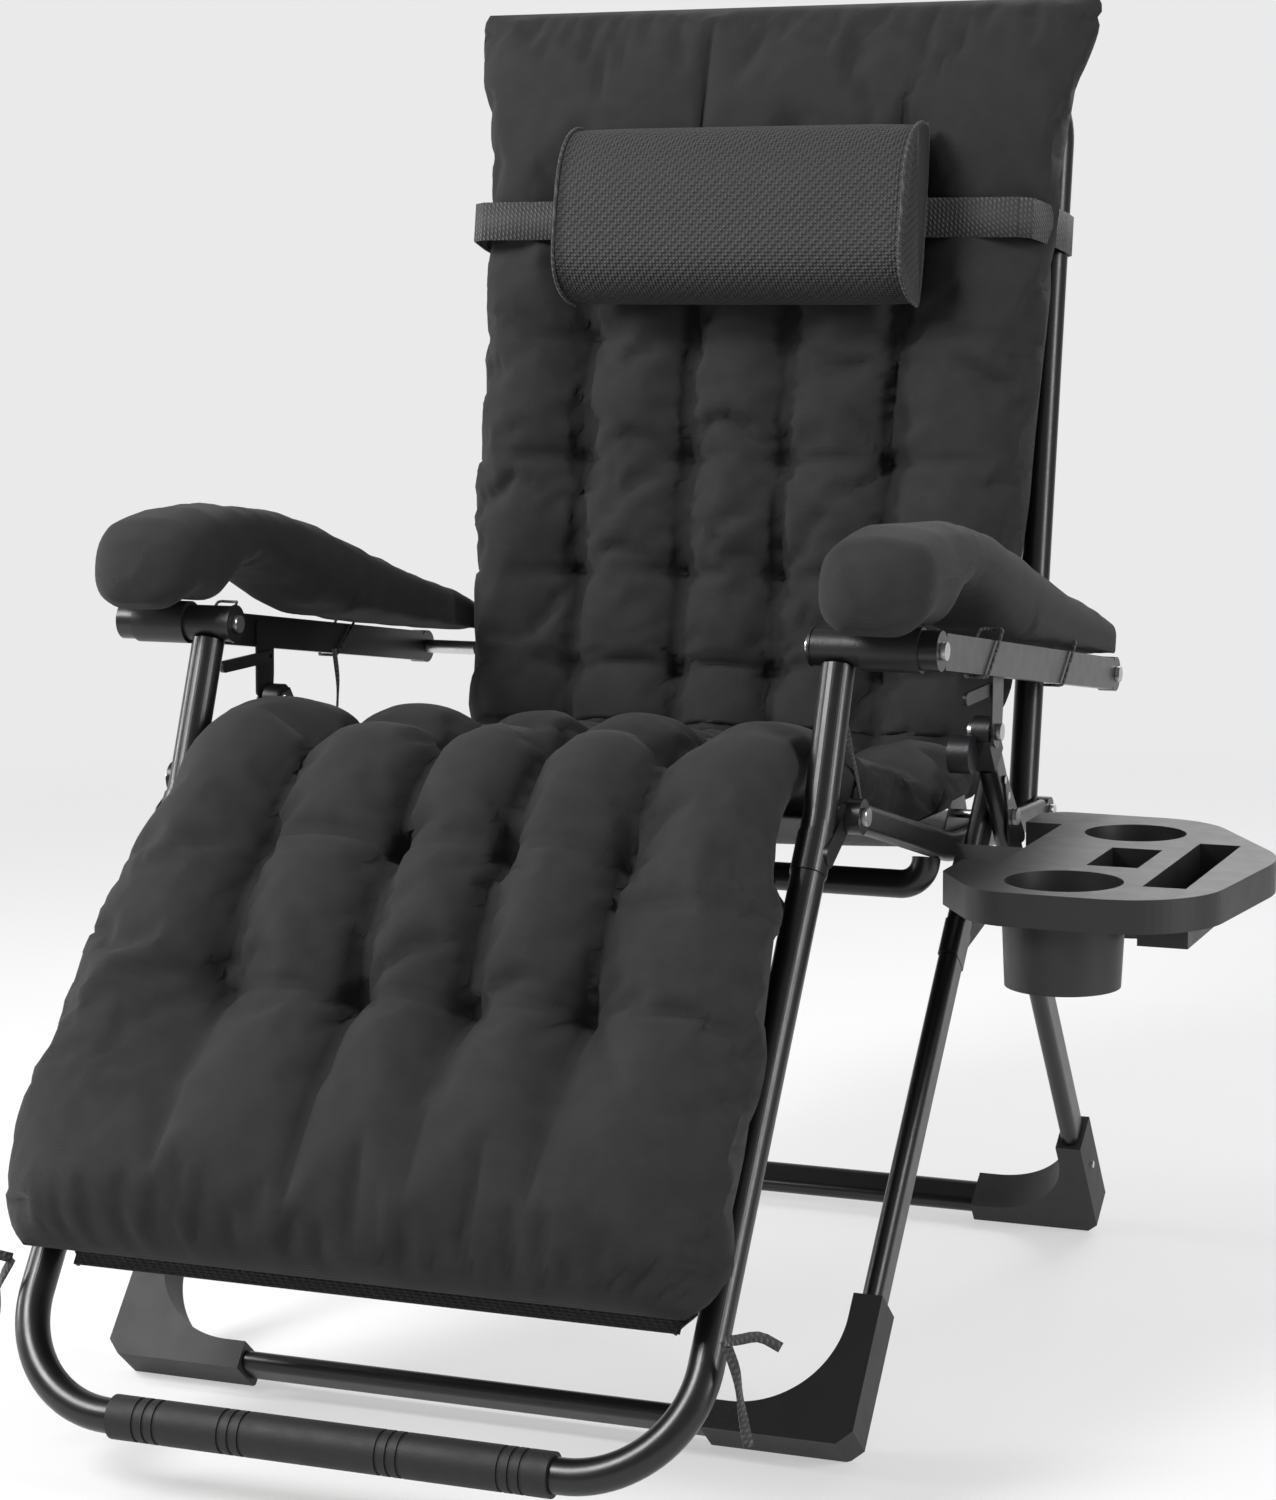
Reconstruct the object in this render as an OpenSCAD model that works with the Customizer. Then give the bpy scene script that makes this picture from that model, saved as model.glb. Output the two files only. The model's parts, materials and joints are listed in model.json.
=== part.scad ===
// Zero gravity recliner: a folding lounge chair with a padded lounger cushion.
// X is the chair's left-right (its occupant's left is +X), -Y is the front, Z is up.
// The origin is on the floor, under the middle of the chair's own box.

/* [Frame] */
// Distance between the centres of the two side tubes of the backrest
frame_w = 576; // [500:1:700]
// Outer diameter of the footrest and backrest tubes
tube_d = 28; // [22:1:34]
// Wall of every steel tube
tube_wall = 1.2; // [0.8:0.1:2]
// Lean of the backrest from the vertical, degrees
back_lean = 9.9; // [5:0.1:20]
// Length of the backrest tubes above their pivot
back_len = 745; // [600:5:850]
// Lean of the footrest from the vertical, degrees
foot_lean = 35; // [20:1:50]
// Length of the footrest from its pivot to the foot bar
foot_len = 548; // [400:2:600]

/* [Linkage] */
// Height of the leg crossing and seat pivot above the floor
pivot_z = 470; // [400:5:520]
// Distance from the footrest pivot to the backrest pivot, front to back
seat_run = 585; // [500:5:650]
// Drop of the seat rail from its front pivot to its rear pivot
seat_drop = 86; // [0:1:140]
// Height of the armrest pivots above the seat rail pivots
arm_rise = 134; // [110:1:180]
// Distance from the leg crossing forward to the footrest pivot
pivot_to_front = 310; // [250:5:350]
// Diameter of the pivot bolts
bolt_d = 8; // [6:0.5:10]

/* [Legs] */
// Wide side of the flat-oval leg tube
leg_w = 34; // [26:1:40]
// Thin side of the flat-oval leg tube
leg_t = 17; // [12:1:20]
// Distance from the leg crossing forward to the front floor bar
front_reach = 390; // [320:5:450]
// Distance from the leg crossing back to the rear floor bar
rear_reach = 335; // [280:5:420]
// Centre-line radius of the bends at the feet
leg_bend_r = 62; // [45:1:90]

/* [Cushion] */
// Thickness of the lounger cushion
pad_t = 84; // [40:1:100]
// Width of the leg part of the cushion
leg_pad_w = 584; // [500:2:620]
// Width of the back part of the cushion at its top
back_pad_w = 636; // [560:2:680]

/* [Tray] */
// Height of the tray's top surface above the floor
tray_z = 455; // [430:1:470]
// Depth of the tray's rim
tray_rim = 28; // [16:1:40]
// Wall of the moulded tray
tray_wall = 3; // [2:0.5:4]
// Radius of the front cup hole
cup_r = 49; // [40:1:55]
// Depth of the cups
cup_depth = 84; // [50:1:100]

/* [Hidden] */
$fn = 48;

slack = 0.4;          // side gap between parts that turn past each other
run_gap = 0.05;       // radial running clearance of a bolt in its bore
seat_gap = 0.3;       // gap between a soft part and what carries it
plate_t = 1.8;        // thickness of the flat steel plates
rail_h = 26;          // height of the flat-oval seat rail
rail_t = 12;          // thickness of the flat-oval seat rail
arm_h = 30;           // height of the armrest rail
arm_t = 16;           // thickness of the armrest rail
u_bend_r = 95;        // centre-line radius of the round tube bends
head_d = 15;          // diameter of the bolt heads
head_t = 4;           // thickness of the bolt heads
rivet_d = 7;
rivet_head = 2;
washer_t = 1.6;

// Planes across the chair, from the middle outwards
tube_x = frame_w / 2;
rail_in = tube_x + tube_d / 2 + washer_t + slack;
rail_x = rail_in + rail_t / 2;
rail_out = rail_in + rail_t;
brace_in = rail_out + slack;
front_in = brace_in + plate_t + slack;
front_x = front_in + leg_t / 2;
front_out = front_in + leg_t;
rear_in = front_out + 2 * slack;
rear_x = rear_in + leg_t / 2;
rear_out = rear_in + leg_t;
plate_in = rear_out;
plate_out = plate_in + plate_t;
lock_in = plate_out + slack;
lock_out = lock_in + plate_t;
arm_in = lock_out + slack;
arm_x = arm_in + arm_t / 2;
arm_out = arm_in + arm_t;

// Points in the side view, as [y, z]
p_y = 115;
P = [p_y, pivot_z];
C = [p_y - pivot_to_front, pivot_z + seat_drop * pivot_to_front / seat_run];
D = [C[0] + seat_run, C[1] - seat_drop];
link = [arm_rise * tan(back_lean), arm_rise];
arm_link = norm(link);
A = C + link;
B = D + link;
bar_z = 21;           // height of the floor bars' centre line
F = [p_y - front_reach, bar_z];
R = [p_y + rear_reach, bar_z];
front_len = norm(P - F);
rear_len = norm(P - R);
front_tilt = atan2(P[1] - F[1], P[0] - F[0]);
rear_tilt = atan2(P[1] - R[1], P[0] - R[0]);
front_over = 36;      // front leg beyond the crossing
rear_over = 70;       // rear leg beyond the crossing
lock_arm = 105;       // leg crossing to lock bolt
Q = P + lock_arm * [cos(rear_tilt), sin(rear_tilt)];
rail_tilt = atan2(-seat_drop, seat_run);
foot_dir = [-sin(foot_lean), -cos(foot_lean)];
foot_out = [-cos(foot_lean), sin(foot_lean)];
back_dir = [sin(back_lean), cos(back_lean)];
back_out = [-cos(back_lean), sin(back_lean)];
knee = C - [31, 2];   // bend of the footrest tube, beside its pivot
foot_end = knee + foot_len * foot_dir;
rail_dip = [P[0] - 45, P[1] - 24];   // lowest bend of the seat rail
seat_up = [-sin(rail_tilt), cos(rail_tilt)];
seat_dir = [cos(rail_tilt), sin(rail_tilt)];

// ---------- helpers ----------

// Puts children at a side-view point, at x across the chair
module at(p, x = 0) {
  translate([x, p[0], p[1]]) children();
}

// Points the children's +Z along the line from p to q in the side view
module along(p, q, x = 0) {
  at(p, x) rotate([-atan2(q[0] - p[0], q[1] - p[1]), 0, 0]) children();
}

// A cylinder on the X axis from x0 to x1
module xcyl(x0, x1, d) {
  translate([x0, 0, 0]) rotate([0, 90, 0]) cylinder(h = x1 - x0, d = d);
}

module oval2d(w, t) {
  square([t, w - t], center = true);
  for (s = [-1, 1]) translate([0, s * (w - t) / 2]) circle(d = t);
}

module oval_ring(w, t) {
  difference() {
    oval2d(w, t);
    oval2d(w - 2 * tube_wall, t - 2 * tube_wall);
  }
}

module round_ring(d) {
  difference() {
    circle(d = d);
    circle(d = d - 2 * tube_wall);
  }
}

module round_tube(len, d = tube_d) {
  linear_extrude(len) round_ring(d);
}

// A bar across X with a quarter bend at each end; the bends leave along +Y
module bent_bar(half, r) {
  translate([-(half - r), 0, 0]) rotate([0, 90, 0]) linear_extrude(2 * (half - r))
    rotate(90) children();
  for (s = [0, 1]) mirror([s, 0, 0]) translate([half - r, r, 0]) rotate(-90)
    rotate_extrude(angle = 90) translate([r, 0]) children();
}

// A bend in the side view that follows on from a tube along +Z and turns towards -Y
module elbow(angle, r) {
  translate([0, -r, 0]) rotate([90, 0, 90]) rotate_extrude(angle = angle)
    translate([r, 0]) rotate(90) children();
}

// Two straight runs from p by way of q to e, with an elbow of radius r at q
module bent_run(p, q, e, r, x) {
  turn = atan2(e[1] - q[1], e[0] - q[0]) - atan2(q[1] - p[1], q[0] - p[0]);
  cut = r * tan(turn / 2);
  along(p, q, x) {
    linear_extrude(norm(q - p) - cut) children();
    translate([0, 0, norm(q - p) - cut]) elbow(turn, r) children();
  }
  d = (e - q) / norm(e - q);
  along(q + cut * d, e, x) linear_extrude(norm(e - q) - cut) children();
}

// Both sides of the chair
module both() {
  children();
  mirror([1, 0, 0]) children();
}

module side(s) {
  if (s < 0) mirror([1, 0, 0]) children();
  else children();
}

// A bolt on the X axis with a flat head at each end
module bolt(x0, x1, d = bolt_d) {
  xcyl(x0, x1, d - 2 * run_gap);
  xcyl(x0 - head_t, x0, head_d);
  xcyl(x1, x1 + head_t, head_d);
}

// A slab between two planes across the chair, with a side-view outline
module side_plate(x0, x1) {
  translate([x0, 0, 0]) rotate([90, 0, 90]) linear_extrude(x1 - x0) children();
}

// A flat bar with round ends between two side-view points
module link2d(p, q, w) {
  for (c = [p, q]) translate(c) circle(d = w);
  translate(p) rotate(atan2(q[1] - p[1], q[0] - p[0])) translate([0, -w / 2])
    square([norm(q - p), w]);
}

// An outline with its corners rounded
module rounded(r) {
  offset(r) offset(-r) children();
}

// ---------- legs ----------

module leg(x, p, tilt, from, to) {
  at(p, x) rotate([tilt - 90, 0, 0]) translate([0, 0, from])
    linear_extrude(to - from) oval_ring(leg_w, leg_t);
}

module leg_bore(x0, x1, p) {
  at(p) xcyl(x0 - 1, x1 + 1, bolt_d);
}

module front_leg(s) {
  color("#2b2b2c") side(s) {
    difference() {
      union() {
        leg(front_x, F, front_tilt, leg_bend_r, front_len + front_over);
        at(P) xcyl(front_in, front_out, bolt_d + 6);
      }
      leg_bore(front_in, front_out, P);
    }
    at(F, front_x) rotate([front_tilt - 90, 0, 0])
      translate([0, 0, front_len + front_over]) linear_extrude(3) oval2d(leg_w, leg_t);
  }
}

module front_floor_bar() {
  color("#2b2b2c") at(F) rotate([front_tilt, 0, 0])
    bent_bar(front_x, leg_bend_r) oval_ring(leg_w, leg_t);
}

module rear_leg(s) {
  color("#2b2b2c") side(s) difference() {
    union() {
      leg(rear_x, R, rear_tilt, leg_bend_r, rear_len + rear_over);
      at(P) xcyl(rear_in, rear_out, bolt_d + 6);
    }
    leg_bore(rear_in, rear_out, P);
  }
}

module rear_floor_bar() {
  color("#2b2b2c") at(R) rotate([rear_tilt, 0, 0])
    bent_bar(rear_x, leg_bend_r) oval_ring(leg_w, leg_t);
}

foot_wall = 4;
foot_run = 116;       // length of a foot along the floor bar
foot_rise = 118;      // length of a foot up the leg
foot_curve = 84;      // radius of the hollow inner edge of a foot
foot_fit = 0.15;      // gap between a foot and the tube inside it

// Corner shoe over a bend: a gusset plate pair, hollow for the tube
module foot(s, p, tilt, x) {
  half = leg_w / 2 + foot_wall;
  out = leg_t / 2 + foot_wall;
  color("#222223") side(s) difference() {
    at(p) rotate([tilt, 0, 0]) translate([x, 0, -half]) linear_extrude(2 * half)
      union() {
        polygon([[-foot_run, -out], [out - 12, -out], [out, 12 - out], [out, foot_rise],
                 [-out, foot_rise], [-out, out], [-foot_run, out]]);
        difference() {
          translate([-out - foot_curve, out]) square(foot_curve);
          translate([-out - foot_curve, out + foot_curve]) circle(r = foot_curve, $fn = 96);
        }
      }
    at(p) rotate([tilt, 0, 0]) {
      bent_bar(x, leg_bend_r) oval2d(leg_w + 2 * foot_fit, leg_t + 2 * foot_fit);
      translate([x, leg_bend_r - 0.01, 0]) rotate([-90, 0, 0])
        linear_extrude(foot_rise) oval2d(leg_w + 2 * foot_fit, leg_t + 2 * foot_fit);
    }
    translate([0, p[0] - 300, -200]) cube([600, 600, 200]);
  }
}

// ---------- leg pivot, braces and lock heads ----------

brace_up = 30;        // distance of the brace pivot behind the front leg's line
brace_at = 134;       // distance of the brace pivot down the front leg
front_leg_dir = [cos(front_tilt), sin(front_tilt)];
front_leg_back = [sin(front_tilt), -cos(front_tilt)];
E1 = P - brace_at * front_leg_dir + brace_up * front_leg_back;
rear_pin_at = 117;
E2 = P - rear_pin_at * [cos(rear_tilt), sin(rear_tilt)];
brace_w = 16;
brace_pin_d = 6;
clamp_out = front_in + 6;

module brace_clamps() {
  color("#262627") both() {
    difference() {
      union() {
        at(P - brace_at * front_leg_dir, front_x) rotate([front_tilt - 90, 0, 0])
          linear_extrude(34, center = true) oval2d(leg_w + 6, leg_t + 0.7);
        side_plate(front_in, clamp_out) link2d(P - brace_at * front_leg_dir, E1, 18);
      }
      at(P - brace_at * front_leg_dir, front_x) rotate([front_tilt - 90, 0, 0])
        linear_extrude(40, center = true) oval2d(leg_w + 0.2, leg_t + 0.2);
      at(E1) xcyl(front_in - 1, clamp_out + 1, brace_pin_d);
    }
  }
}

module leg_brace(s) {
  pin_d = brace_pin_d - 2 * run_gap;
  color("#262627") side(s) {
    side_plate(brace_in, brace_in + plate_t) link2d(E1, E2, brace_w);
    at(E1) {
      xcyl(brace_in + plate_t, clamp_out + slack, pin_d);
      xcyl(clamp_out + slack, clamp_out + slack + 3, 2 * brace_pin_d);
    }
  }
}

tri_low = 34;         // reach of the scissor plate below the crossing
tri_top = 62;         // reach of the scissor plate above the crossing
rivet_along = [26, 46];

module scissor_plate(s) {
  u = [cos(rear_tilt), sin(rear_tilt)];
  color("#1e1e1f") side(s) side_plate(plate_in, plate_out) difference() {
    rounded(4) polygon([P + tri_top * u + [3, 2], P - tri_low * u + [24, 0],
                        P - tri_low * u - [30, 4], P - [20, -12]]);
    translate(P) circle(d = bolt_d);
  }
}

module leg_rivets() {
  u = [cos(rear_tilt), sin(rear_tilt)];
  color("silver") both() {
    for (k = rivet_along) at(P + k * u) xcyl(plate_out, plate_out + seat_gap, rivet_d);
    at(R + 70 * u) xcyl(rear_out + foot_wall, rear_out + foot_wall + rivet_head, rivet_d);
    at(E2) xcyl(brace_in + plate_t + seat_gap, rear_in, brace_pin_d);
  }
}

ring_d = 34;
ring_at = Q + [-20, -18];

module leg_head(s) {
  top = rear_len + rear_over;
  color("#1c1c1d") side(s) difference() {
    union() {
      at(R, rear_x) rotate([rear_tilt - 90, 0, 0])
        translate([-leg_t / 2, -leg_w / 2 + 2, top]) cube([leg_t, leg_w - 4, lock_arm - rear_over]);
      at(Q) xcyl(rear_in + 0.5, rear_out - 0.5, 27);
      at(ring_at) xcyl(rail_out + 6, rear_in + 5, ring_d);
    }
    at(ring_at) xcyl(rail_out + 5, rear_in + 3, ring_d - 5);
    at(Q) xcyl(rear_in - 1, rear_out + 1, bolt_d);
  }
}

module seat_pivot_bolts() {
  color("silver") both() at(P) bolt(rail_in - plate_t - slack, plate_out + slack);
}

// ---------- seat ----------

rail_bend_r = 260;
rail_eye = rail_h + 3;    // diameter of the flattened eye at each end of the seat rail

module seat_rail(s) {
  c_end = C + (rail_eye / 2 - 2) * (rail_dip - C) / norm(rail_dip - C);
  d_end = D + (rail_eye / 2 - 2) * (rail_dip - D) / norm(rail_dip - D);
  color("#2b2b2c") side(s) difference() {
    union() {
      bent_run(c_end, rail_dip, d_end, rail_bend_r, rail_x) oval_ring(rail_h, rail_t);
      for (c = [C, D]) at(c) xcyl(rail_in, rail_out, rail_eye);
    }
    for (c = [C, D]) at(c) xcyl(rail_in - 1, rail_out + 1, bolt_d);
  }
}

module seat_pivot_plates() {
  color("#1e1e1f") both() side_plate(rail_in - plate_t, rail_in) difference() {
    rounded(3) polygon([P + [-20, 14], P + [20, 14], P + [44, -32], P + [-60, -30]]);
    translate(P) circle(d = bolt_d);
  }
}

cross_back = 92;      // distance of the crossbar in front of the leg crossing
cross_d = 25;
cross_drop = 38;      // how far the crossbar hangs below the seat rails
cross_bend_r = 24;
front_run = (rail_dip - C) / norm(rail_dip - C);
rear_run = (rail_dip - D) / norm(rail_dip - D);
cross_rail = C + (P[0] - cross_back - C[0]) / front_run[0] * front_run;

module seat_crossbar() {
  half = rail_out - 1 - cross_d / 2;
  color("#2b2b2c") difference() {
    at(cross_rail - [0, cross_drop]) rotate([90, 0, 0]) {
      bent_bar(half, cross_bend_r) round_ring(cross_d);
      both() translate([half, cross_bend_r, 0]) rotate([-90, 0, 0])
        linear_extrude(cross_drop) round_ring(cross_d);
    }
    at(cross_rail) rotate([atan2(front_run[1], front_run[0]), 0, 0])
      translate([-500, -60, -rail_h / 2]) cube([1000, 120, 120]);
  }
}

sling_t = 2;
sling_w = 2 * (tube_x - tube_d / 2 - seat_gap);
seat_sling_w = 2 * (rail_in - plate_t - seat_gap);

// A slab across the chair given by a side-view outline
module slab(width) {
  translate([-width / 2, 0, 0]) side_plate(0, width) children();
}

module seat_sling() {
  front = C + 52 * front_run;
  rear = D + 40 * rear_run;
  color("#191919") slab(seat_sling_w) polygon([front, rail_dip, rear,
    rear + [0, sling_t], rail_dip + [0, sling_t], front + [0, sling_t]]);
}

// ---------- footrest ----------

knee_bend_r = 80;

module footrest_tube(s) {
  top = A - [6, tee_d / 2 - 1];
  color("#303031") side(s)
    bent_run(foot_end - u_bend_r * foot_dir, knee, top, knee_bend_r, tube_x)
      round_ring(tube_d);
}

module u_plane(p, tilt) {
  at(p) rotate([tilt, 0, 0]) children();
}

foot_tilt = 90 - foot_lean;

module foot_bar() {
  color("#303031") u_plane(foot_end, foot_tilt) bent_bar(tube_x, u_bend_r) round_ring(tube_d);
}

grip_t = 3.5;
grip_half = tube_x - u_bend_r - 6;
groove_at = [-0.82, -0.42, 0.30, 0.84];

module foot_grip() {
  d = tube_d + 2 * (foot_fit + grip_t);
  color("#202021") at(foot_end) difference() {
    xcyl(-grip_half, grip_half, d);
    xcyl(-grip_half - 1, grip_half + 1, tube_d + 2 * foot_fit);
    for (g = groove_at, k = [-1, 0, 1]) translate([g * grip_half + 9 * k, 0, 0])
      difference() {
        xcyl(-1.5, 1.5, d + 2);
        xcyl(-2, 2, d - 2.4);
      }
  }
}

band_h = 36;
band_d = tube_d + 2.4;
band_at = knee + 28 * foot_dir;
ear_w = 20;
ear_in = tube_x + 9;    // inner face of the ear, which the tube's bore then cuts

module footrest_brackets() {
  color("#242425") both() difference() {
    union() {
      along(band_at, knee, tube_x) translate([0, 0, -band_h / 2]) cylinder(h = band_h, d = band_d);
      side_plate(ear_in, rail_in - slack) link2d(band_at, C, ear_w);
    }
    at(C) xcyl(tube_x, rail_in, bolt_d);
    along(band_at, knee, tube_x) translate([0, 0, -band_h])
      cylinder(h = 3 * band_h, d = tube_d + 2 * foot_fit);
  }
}

module footrest_pivot_bolts() {
  color("silver") both() at(C) bolt(ear_in - slack, rail_out + slack);
}

tee_d = 31;

module front_tees() {
  color("#1d1d1e") both() at(A) difference() {
    union() {
      xcyl(tube_x - 22, rail_out - 8, tee_d);
      xcyl(tube_x - 24, tube_x - 22, tee_d + 2);
    }
    xcyl(tube_x - 30, rail_out, bolt_d);
  }
}

module leg_frame(p, tilt, x = 0) {
  at(p, x) rotate([tilt, 0, 0]) children();
}

module footrest_sling() {
  from = 52;
  len = foot_len - u_bend_r - from - 10;
  color("#191919") leg_frame(knee, foot_tilt) translate([-sling_w / 2, -from - len, -sling_t / 2])
    cube([sling_w, len, sling_t]);
}

// A cushion lying on a plane: u across, v along, rounded at its edges
module cushion(w_low, w_high, from, to, thick, lift) {
  r = thick * 0.32;
  translate([0, 0, lift]) hull() for (e = [[from, w_low], [to, w_high]], s = [-1, 1],
    z = [r, thick - r])
    translate([s * (e[1] / 2 - r), e[0] + (e[0] == from ? r : -r), z]) sphere(r = r, $fn = 20);
}

pad_lift = tube_d / 2 + seat_gap;
leg_lift = band_d / 2 + seat_gap;
hem_at = 428;
knee_top = 66;

module cushion_legs() {
  color("#2c2c2d") leg_frame(knee, foot_tilt) {
    cushion(leg_pad_w, leg_pad_w, -hem_at, -12, pad_t, leg_lift);
    cushion(seat_pad_w, seat_pad_w, -80, knee_top, pad_t, leg_lift);
  }
}

// ---------- backrest ----------

back_end = D + back_len * back_dir;
back_tilt = 90 - back_lean;

module back_tube(s) {
  color("#303031") side(s) difference() {
    union() {
      along(D, back_end, tube_x) round_tube(back_len - u_bend_r);
      at(D) xcyl(tube_x - tube_d / 2, tube_x + tube_d / 2, tube_d + 2);
    }
    for (c = [B, D]) at(c) xcyl(tube_x - tube_d, tube_x + tube_d, bolt_d);
  }
}

module back_top_bar() {
  color("#303031") at(back_end) rotate([back_tilt + 180, 0, 0])
    bent_bar(tube_x, u_bend_r) round_ring(tube_d);
}

module backrest_pivot_bolts() {
  color("silver") both() at(D) bolt(tube_x - tube_d / 2 - 1, rail_out + slack);
}

module back_plane(x = 0) {
  at(D, x) rotate([back_tilt, 0, 0]) children();
}

module back_sling() {
  from = arm_link + head_d;
  color("#191919") back_plane() translate([-sling_w / 2, from, -sling_t / 2])
    cube([sling_w, back_len - u_bend_r - from, sling_t]);
}

back_pad_from = 122;
back_pad_to = 786;
back_pad_low = 546;
back_pad_mid = 596;

module cushion_back() {
  color("#2c2c2d") back_plane() {
    cushion(back_pad_low, back_pad_mid, back_pad_from, strap_at + 60, pad_t, pad_lift);
    cushion(back_pad_mid, back_pad_w, strap_at, back_pad_to, pad_t, pad_lift);
  }
}

strap_at = 572;
strap_w = 38;
strap_t = 2;

module webbing_strap() {
  half = tube_x + tube_d / 2 + seat_gap;
  low = -tube_d / 2 - seat_gap;
  tall = pad_lift + pad_t + seat_gap - low;
  color("#232324") back_plane() translate([0, strap_at, 0]) difference() {
    translate([-half - strap_t, -strap_w / 2, low - strap_t])
      cube([2 * (half + strap_t), strap_w, tall + 2 * strap_t]);
    translate([-half, -strap_w, low]) cube([2 * half, 2 * strap_w, tall]);
  }
}

pillow_w = 356;
pillow_x = 10;
pillow_h = 172;
pillow_t = 74;

module head_pillow() {
  n0 = pad_lift + pad_t + strap_t + 2 * seat_gap;
  color("#1b1b1c") back_plane() translate([pillow_x - pillow_w / 2, strap_at, n0]) rotate([90, 0, 90])
    linear_extrude(pillow_w) rounded(18) hull() {
      translate([-pillow_h / 2, 0]) square([pillow_h, 12]);
      translate([-6, pillow_t / 2]) scale([1.5, 1]) circle(d = pillow_t);
    }
}

module armrest_rear_pins() {
  color("silver") both() at(B) {
    bolt(tube_x - tube_d / 2 - 1, arm_out + slack, bolt_d);
    xcyl(tube_x + tube_d / 2 + 0.5, arm_in - slack, bolt_d + 6);
  }
}

// ---------- seat cushion ----------

seat_pad_w = 540;
seat_pad_from = 100;
seat_pad_to = 402;

// Point on the seat sling at a distance y from the front pivot
function on_sling(y) = C[0] + y < rail_dip[0]
  ? C + y / front_run[0] * front_run + [0, sling_t + seat_gap]
  : D + (C[0] + y - D[0]) / rear_run[0] * rear_run + [0, sling_t + seat_gap];

module cushion_seat() {
  top = pad_t * seat_up;
  color("#2c2c2d") slab(seat_pad_w) rounded(12) polygon([
    on_sling(seat_pad_from), rail_dip + [0, sling_t + seat_gap], on_sling(seat_pad_to),
    C + seat_pad_to * seat_dir + top, C + seat_pad_from * seat_dir + top]);
}

// Soft bend between two cushion parts, from an outline in the side view
module bend_pad() {
  color("#2c2c2d") slab(seat_pad_w) rounded(9) children();
}

bend_gap = 0.5;       // gap between the soft bends and the cushion parts

module cushion_knee() {
  low = knee - (knee_top + bend_gap) * foot_dir;
  front = C + (seat_pad_from - bend_gap) * seat_dir;
  bend_pad() polygon([low + leg_lift * foot_out, low + (leg_lift + pad_t - 16) * foot_out,
    C + 30 * seat_dir + (pad_t + 12) * seat_up, front + (pad_t - 3) * seat_up,
    on_sling(seat_pad_from - 2) + [0, 3], C + 40 * seat_dir + 22 * seat_up]);
}

module cushion_lumbar() {
  rear = C + (seat_pad_to + bend_gap) * seat_dir;
  high = D + (back_pad_from - bend_gap) * back_dir;
  bend_pad() polygon([
    on_sling(seat_pad_to + 4) + [0, 4], D - 56 * seat_dir + 10 * seat_up,
    high + pad_lift * back_out, high + (pad_lift + pad_t - 2) * back_out,
    rear + (pad_t - 2) * seat_up]);
}

// ---------- armrests ----------

arm_wall = 2;
arm_eye = arm_h + 3;     // diameter of the eye at each end of the rail
arm_inset = 12;          // start of the channel beyond the eye's centre

module armrest_rail(s) {
  color("#3a3a3b") side(s) difference() {
    union() {
      along(A + arm_inset * seat_dir, B, arm_x)
        linear_extrude(norm(B - A) - 2 * arm_inset) difference() {
          square([arm_t, arm_h], center = true);
          square([arm_t - 2 * arm_wall, arm_h - 2 * arm_wall], center = true);
        }
      for (c = [A, B]) at(c) xcyl(arm_in, arm_out, arm_eye);
    }
    for (c = [A, B]) at(c) xcyl(arm_in - 1, arm_out + 1, bolt_d);
  }
}

hub_d = 37;

module armrest_hub(s) {
  color("#1d1d1e") side(s) at(A) difference() {
    xcyl(rail_out - 8 + slack, arm_in, hub_d);
    xcyl(rail_out - 10, arm_in + 1, bolt_d);
  }
}

module armrest_front_bolts() {
  color("silver") both() at(A) bolt(tube_x - 24 - slack, arm_out + slack);
}

pad_w = 98;
pad_in = tube_x - 7;
pad_ball = 24;
pad_edge = 1.2 * pad_ball;
// Side outline of the pad: distance along the rail, height over the rail, size of the
// corner ball, and how far its inner corner stands off the backrest tube's plane
pad_spots = [[-44, 30, 1, 0], [10, 56, 1.2, 0], [170, 56, 1.15, 0], [340, 30, 1, 7],
             [seat_run + 14, 19, 0.75, 16], [-34, 13, 0.5, 0]];

// Armrest pad: a tapering padded sleeve over the rail
module armrest_pad(s) {
  low = hub_d / 2 + seat_gap - 1;
  color("#2f2f30") side(s) at(A, pad_in) rotate([rail_tilt, 0, 0]) hull()
    for (k = pad_spots, x = [pad_edge + k[3], pad_w - pad_edge])
      translate([x, k[0], low + k[1]]) sphere(r = pad_ball * k[2], $fn = 20);
}

// ---------- armrest locks ----------

lock_w = 34;
rail_above = (A + (Q[0] - A[0]) / cos(rail_tilt) * seat_dir)[1] - Q[1];

module lock_plate(s) {
  color("#3a3a3b") side(s) side_plate(lock_in, lock_out) difference() {
    union() {
      translate(Q) circle(r = 14);
      rounded(4) polygon([Q + [-lock_w / 2, 4], Q + [lock_w / 2 - 4, -6],
                          Q + [lock_w / 2, 20], Q + [lock_w / 2 + 2, rail_above + 8],
                          Q + [-lock_w / 2 + 2, rail_above + 12]]);
    }
    translate(Q) circle(d = bolt_d);
  }
}

module lock_bolts() {
  color("silver") both() at(Q) bolt(rear_in - slack, lock_out + slack, bolt_d);
}

lever_len = 88;
lever_at = [4, rail_above - 24];

lever_w = 11;
lever_t = 3.6;

module lock_lever(s) {
  p = Q + lever_at;
  color("#262627") side(s) side_plate(lock_in - slack - lever_t, lock_in - slack) difference() {
    link2d(p, p - [lever_len, 0], lever_w);
    translate(p) circle(d = 5);
  }
}

// ---------- tray ----------

tray_in = tube_x + 62;
tray_wide = 246;
tray_front = -172;
tray_back = 244;
notch = [-28, 176];
notch_deep = 34;
cup1 = [tray_in + 107, -98];
cup2 = [tray_in + 107, 152];
cup2_r = cup_r - 4;

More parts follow.
